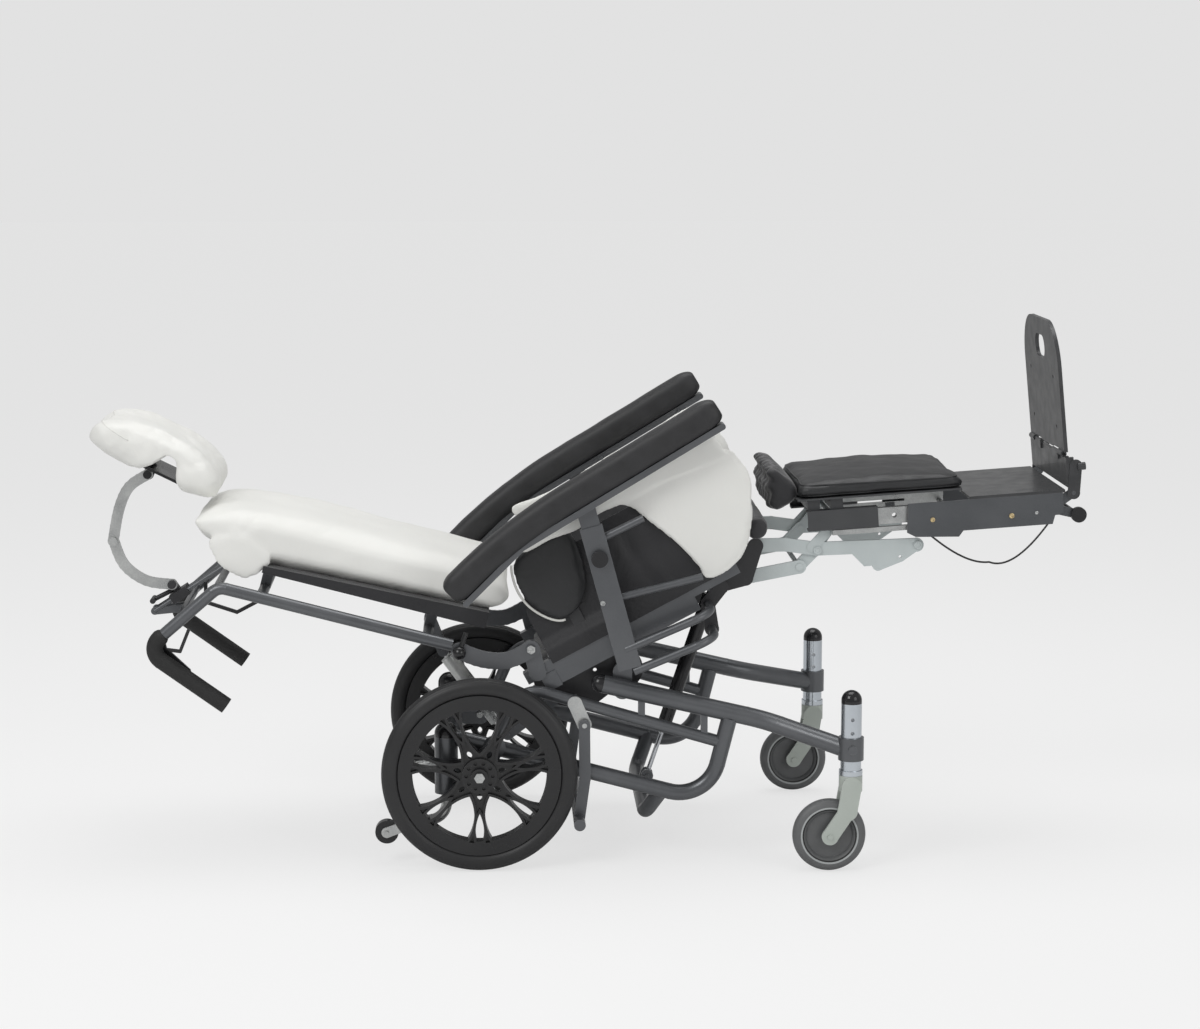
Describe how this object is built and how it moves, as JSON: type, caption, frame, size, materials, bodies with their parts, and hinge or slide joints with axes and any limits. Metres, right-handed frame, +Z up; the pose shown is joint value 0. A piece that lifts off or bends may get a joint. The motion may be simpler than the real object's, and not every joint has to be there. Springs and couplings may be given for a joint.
{
  "type": "tilt in space wheelchair",
  "caption": "Multifunction care wheelchair with tilting seat, reclining back, raised legrest, headrest and padded armrests on rear wheels and front casters.",
  "frame": {"origin": "on the floor, in the middle plane, under the middle of the chair's length in the stored pose", "axes": "+X forward, +Y to the chair's left, +Z up"},
  "size_m": [2.0633, 0.73, 1.1049],
  "materials": {
    "frame_paint": "metallic satin powder coat",
    "frame_dark": "dark satin powder coat",
    "zinc": "bright zinc plate",
    "zinc_dull": "dull zinc plate",
    "pale_steel": "pale grey powder coat",
    "fork_grey": "pale sage grey moulding",
    "caster_grey": "grey moulded wheel and tread",
    "rim_black": "black moulded plastic",
    "tyre_black": "black rubber",
    "knob_black": "glossy black plastic",
    "grip_foam": "matt black foam",
    "cover_white": "off-white coated fabric",
    "cloth_black": "black woven nylon",
    "pad_black": "black leatherette",
    "armpad_foam": "black integral foam",
    "plate_grey": "dark grey satin plate",
    "spring_black": "gloss black paint",
    "chrome": "polished rod",
    "cable_black": "black cable jacket"
  },
  "bodies": {
    "chassis": {"side_frames": "frame_paint", "cross_tubes": "frame_paint", "caster_stems": "zinc", "tube_caps": "knob_black", "wheel_axles": "zinc_dull", "brake_brackets": "zinc_dull"},
    "rear_wheel_right": {"rear_rim_right": "rim_black", "rear_tyre_right": "tyre_black"},
    "rear_wheel_left": {"rear_rim_left": "rim_black", "rear_tyre_left": "tyre_black"},
    "fork_right": {"caster_fork_right": "fork_grey"},
    "fork_left": {"caster_fork_left": "fork_grey"},
    "caster_right": {"caster_wheel_right": "caster_grey"},
    "caster_left": {"caster_wheel_left": "caster_grey"},
    "brake": {"brake_bar": "zinc_dull"},
    "tip_arm_right": {"anti_tip_arm_right": "zinc_dull"},
    "tip_arm_left": {"anti_tip_arm_left": "zinc_dull"},
    "tip_wheel_right": {"anti_tip_wheel_right": "rim_black"},
    "tip_wheel_left": {"anti_tip_wheel_left": "rim_black"},
    "tilt_spring": {"tilt_cylinder": "spring_black"},
    "tilt_spring_rod": {"tilt_rod": "chrome"},
    "recline_spring": {"recline_cylinder": "zinc"},
    "recline_spring_rod": {"recline_rod": "chrome"},
    "seat": {"seat_frame": "frame_paint", "seat_plates": "frame_dark", "seat_cushion": "cover_white", "arm_sleeves": "frame_paint", "side_fabrics": "cloth_black", "hip_panels": "cloth_black", "arm_knobs": "knob_black"},
    "armrest_right": {"arm_post_right": "frame_paint", "arm_pad_right": "armpad_foam", "side_panel_right": "cover_white"},
    "armrest_left": {"arm_post_left": "frame_paint", "arm_pad_left": "armpad_foam", "side_panel_left": "cover_white"},
    "backrest": {"back_frame": "frame_paint", "back_board": "cloth_black", "back_cushion": "cover_white", "push_grips": "grip_foam", "ball_knobs": "knob_black"},
    "hand_lever_right": {"lever_right": "knob_black"},
    "hand_lever_left": {"lever_left": "knob_black"},
    "headrest_slider": {"headrest_rail": "frame_dark"},
    "headrest_lower": {"headrest_arm_lower": "frame_paint"},
    "headrest_upper": {"headrest_arm_upper": "frame_paint"},
    "headrest": {"headrest_shell": "knob_black", "headrest_cushion": "cover_white"},
    "legrest": {"leg_frame": "frame_paint", "calf_pad": "pad_black", "gaiter": "cloth_black"},
    "cranks": {"crank_links": "pale_steel"},
    "links": {"lower_links": "pale_steel"},
    "leg_slide": {"slide_rails": "zinc"},
    "foot_box": {"foot_sides": "frame_paint", "foot_top": "plate_grey", "foot_cable": "cable_black"},
    "foot_roller_pair": {"foot_rollers": "rim_black"},
    "foot_plate": {"foot_plate_lower": "plate_grey"},
    "foot_flap": {"foot_plate_upper": "plate_grey"}
  },
  "joints": [
    {"name": "rear_wheel_spin_right", "type": "hinge", "parent": "chassis", "child": "rear_wheel_right", "pos_m": [-0.2254, -0.305, 0.2], "axis": [0, 1, 0], "continuous": true},
    {"name": "rear_wheel_spin_left", "type": "hinge", "parent": "chassis", "child": "rear_wheel_left", "pos_m": [-0.2254, 0.305, 0.2], "axis": [0, 1, 0], "continuous": true},
    {"name": "caster_swivel_right", "type": "hinge", "parent": "chassis", "child": "fork_right", "pos_m": [0.5296, -0.335, 0.2], "axis": [0, 0, 1], "continuous": true},
    {"name": "caster_spin_right", "type": "hinge", "parent": "fork_right", "child": "caster_right", "pos_m": [0.4866, -0.335, 0.075], "axis": [0, 1, 0], "continuous": true},
    {"name": "caster_swivel_left", "type": "hinge", "parent": "chassis", "child": "fork_left", "pos_m": [0.5296, 0.335, 0.2], "axis": [0, 0, 1], "continuous": true},
    {"name": "caster_spin_left", "type": "hinge", "parent": "fork_left", "child": "caster_left", "pos_m": [0.4866, 0.335, 0.075], "axis": [0, 1, 0], "continuous": true},
    {"name": "brake_swing", "type": "hinge", "parent": "chassis", "child": "brake", "pos_m": [-0.0104, 0, 0.292], "axis": [0, 1, 0], "range_deg": [0, 5]},
    {"name": "tip_arm_turn_right", "type": "hinge", "parent": "chassis", "child": "tip_arm_right", "pos_m": [-0.2934, -0.25, 0.098], "axis": [0, 0, -1], "range_deg": [0, 90]},
    {"name": "tip_wheel_spin_right", "type": "hinge", "parent": "tip_arm_right", "child": "tip_wheel_right", "pos_m": [-0.4164, -0.25, 0.069], "axis": [0, 1, 0], "continuous": true},
    {"name": "tip_arm_turn_left", "type": "hinge", "parent": "chassis", "child": "tip_arm_left", "pos_m": [-0.2934, 0.25, 0.098], "axis": [0, 0, 1], "range_deg": [0, 90]},
    {"name": "tip_wheel_spin_left", "type": "hinge", "parent": "tip_arm_left", "child": "tip_wheel_left", "pos_m": [-0.4164, 0.25, 0.069], "axis": [0, 1, 0], "continuous": true},
    {"name": "tilt", "type": "hinge", "parent": "chassis", "child": "seat", "pos_m": [0.0696, 0, 0.395], "axis": [0, 1, 0], "range_deg": [0, 28]},
    {"name": "tilt_spring_swing", "type": "hinge", "parent": "seat", "child": "tilt_spring", "pos_m": [0.27224, 0, 0.53139], "axis": [0, 1, 0], "range_deg": [-15.95, 0]},
    {"name": "tilt_spring_stroke", "type": "slide", "parent": "tilt_spring", "child": "tilt_spring_rod", "axis": [0.3208, 0, 0.9472], "range_m": [0, 0.0854]},
    {"name": "recline", "type": "hinge", "parent": "seat", "child": "backrest", "pos_m": [-0.1184, 0, 0.446], "axis": [0, 1, 0], "range_deg": [0, 40]},
    {"name": "recline_spring_swing", "type": "hinge", "parent": "backrest", "child": "recline_spring", "pos_m": [-0.3024, 0, 0.398], "axis": [0, 1, 0], "range_deg": [-25.15, 0]},
    {"name": "recline_spring_stroke", "type": "slide", "parent": "recline_spring", "child": "recline_spring_rod", "axis": [0.5993, 0, -0.8005], "range_m": [0, 0.1089]},
    {"name": "armrest_height_right", "type": "slide", "parent": "seat", "child": "armrest_right", "axis": [-0.2639, 0, 0.9646], "range_m": [0, 0.06]},
    {"name": "armrest_height_left", "type": "slide", "parent": "seat", "child": "armrest_left", "axis": [-0.2639, 0, 0.9646], "range_m": [0, 0.06]},
    {"name": "hand_lever_swing_right", "type": "hinge", "parent": "backrest", "child": "hand_lever_right", "pos_m": [-0.87437, -0.213, 0.47271], "axis": [0, 1, 0], "range_deg": [0, 8], "stiffness_Nm_per_rad": 2, "springref_deg": -5.73},
    {"name": "hand_lever_swing_left", "type": "hinge", "parent": "backrest", "child": "hand_lever_left", "pos_m": [-0.82366, 0.213, 0.51626], "axis": [0, 1, 0], "range_deg": [0, 10], "stiffness_Nm_per_rad": 2, "springref_deg": -5.73},
    {"name": "headrest_height", "type": "slide", "parent": "backrest", "child": "headrest_slider", "axis": [0.8407, 0, 0.5416], "range_m": [0, 0.04]},
    {"name": "headrest_lower_turn", "type": "hinge", "parent": "headrest_slider", "child": "headrest_lower", "pos_m": [-0.87132, 0, 0.54738], "axis": [0, 1, 0], "range_deg": [-15, 0]},
    {"name": "headrest_upper_turn", "type": "hinge", "parent": "headrest_lower", "child": "headrest_upper", "pos_m": [-0.99145, 0, 0.64196], "axis": [0, 1, 0], "range_deg": [-15, 0]},
    {"name": "headrest_tilt", "type": "hinge", "parent": "headrest_upper", "child": "headrest", "pos_m": [-0.91614, 0, 0.78244], "axis": [0, 1, 0], "range_deg": [-20, 0]},
    {"name": "legrest", "type": "hinge", "parent": "seat", "child": "legrest", "pos_m": [0.3486, 0, 0.64402], "axis": [0, 1, 0], "range_deg": [0, 62]},
    {"name": "crank_swing", "type": "hinge", "parent": "legrest", "child": "cranks", "pos_m": [0.47746, 0, 0.63577], "axis": [0, 1, 0], "range_deg": [-87.76, 0]},
    {"name": "link_swing", "type": "hinge", "parent": "seat", "child": "links", "pos_m": [0.32815, 0, 0.57647], "axis": [0, 1, 0], "range_deg": [0, 71.39]},
    {"name": "leg_slide_stroke", "type": "slide", "parent": "legrest", "child": "leg_slide", "axis": [-0.9977, 0, -0.068], "range_m": [0, 0.0985]},
    {"name": "foot_box_length", "type": "slide", "parent": "leg_slide", "child": "foot_box", "axis": [-0.9977, 0, -0.068], "range_m": [0, 0.085]},
    {"name": "foot_roller_spin", "type": "hinge", "parent": "foot_box", "child": "foot_roller_pair", "pos_m": [1.01569, 0, 0.70954], "axis": [0, 1, 0], "continuous": true},
    {"name": "foot_plate_angle", "type": "hinge", "parent": "foot_box", "child": "foot_plate", "pos_m": [1.00458, 0, 0.75489], "axis": [0, 1, 0], "range_deg": [-5, 10]},
    {"name": "foot_flap_fold", "type": "hinge", "parent": "foot_plate", "child": "foot_flap", "pos_m": [0.98569, 0, 0.83341], "axis": [0, -1, 0], "range_deg": [0, 85]}
  ],
  "couplings": [
    {"joint": "tilt_spring_swing", "follows": "tilt", "ratio": -0.56244},
    {"joint": "tilt_spring_stroke", "follows": "tilt", "m_per_rad": 0.17266},
    {"joint": "recline_spring_swing", "follows": "recline", "ratio": -0.62377},
    {"joint": "recline_spring_stroke", "follows": "recline", "m_per_rad": 0.15456},
    {"joint": "crank_swing", "follows": "legrest", "ratio": -1.4123},
    {"joint": "link_swing", "follows": "legrest", "ratio": 1.1483},
    {"joint": "leg_slide_stroke", "follows": "legrest", "m_per_rad": 0.090598}
  ]
}
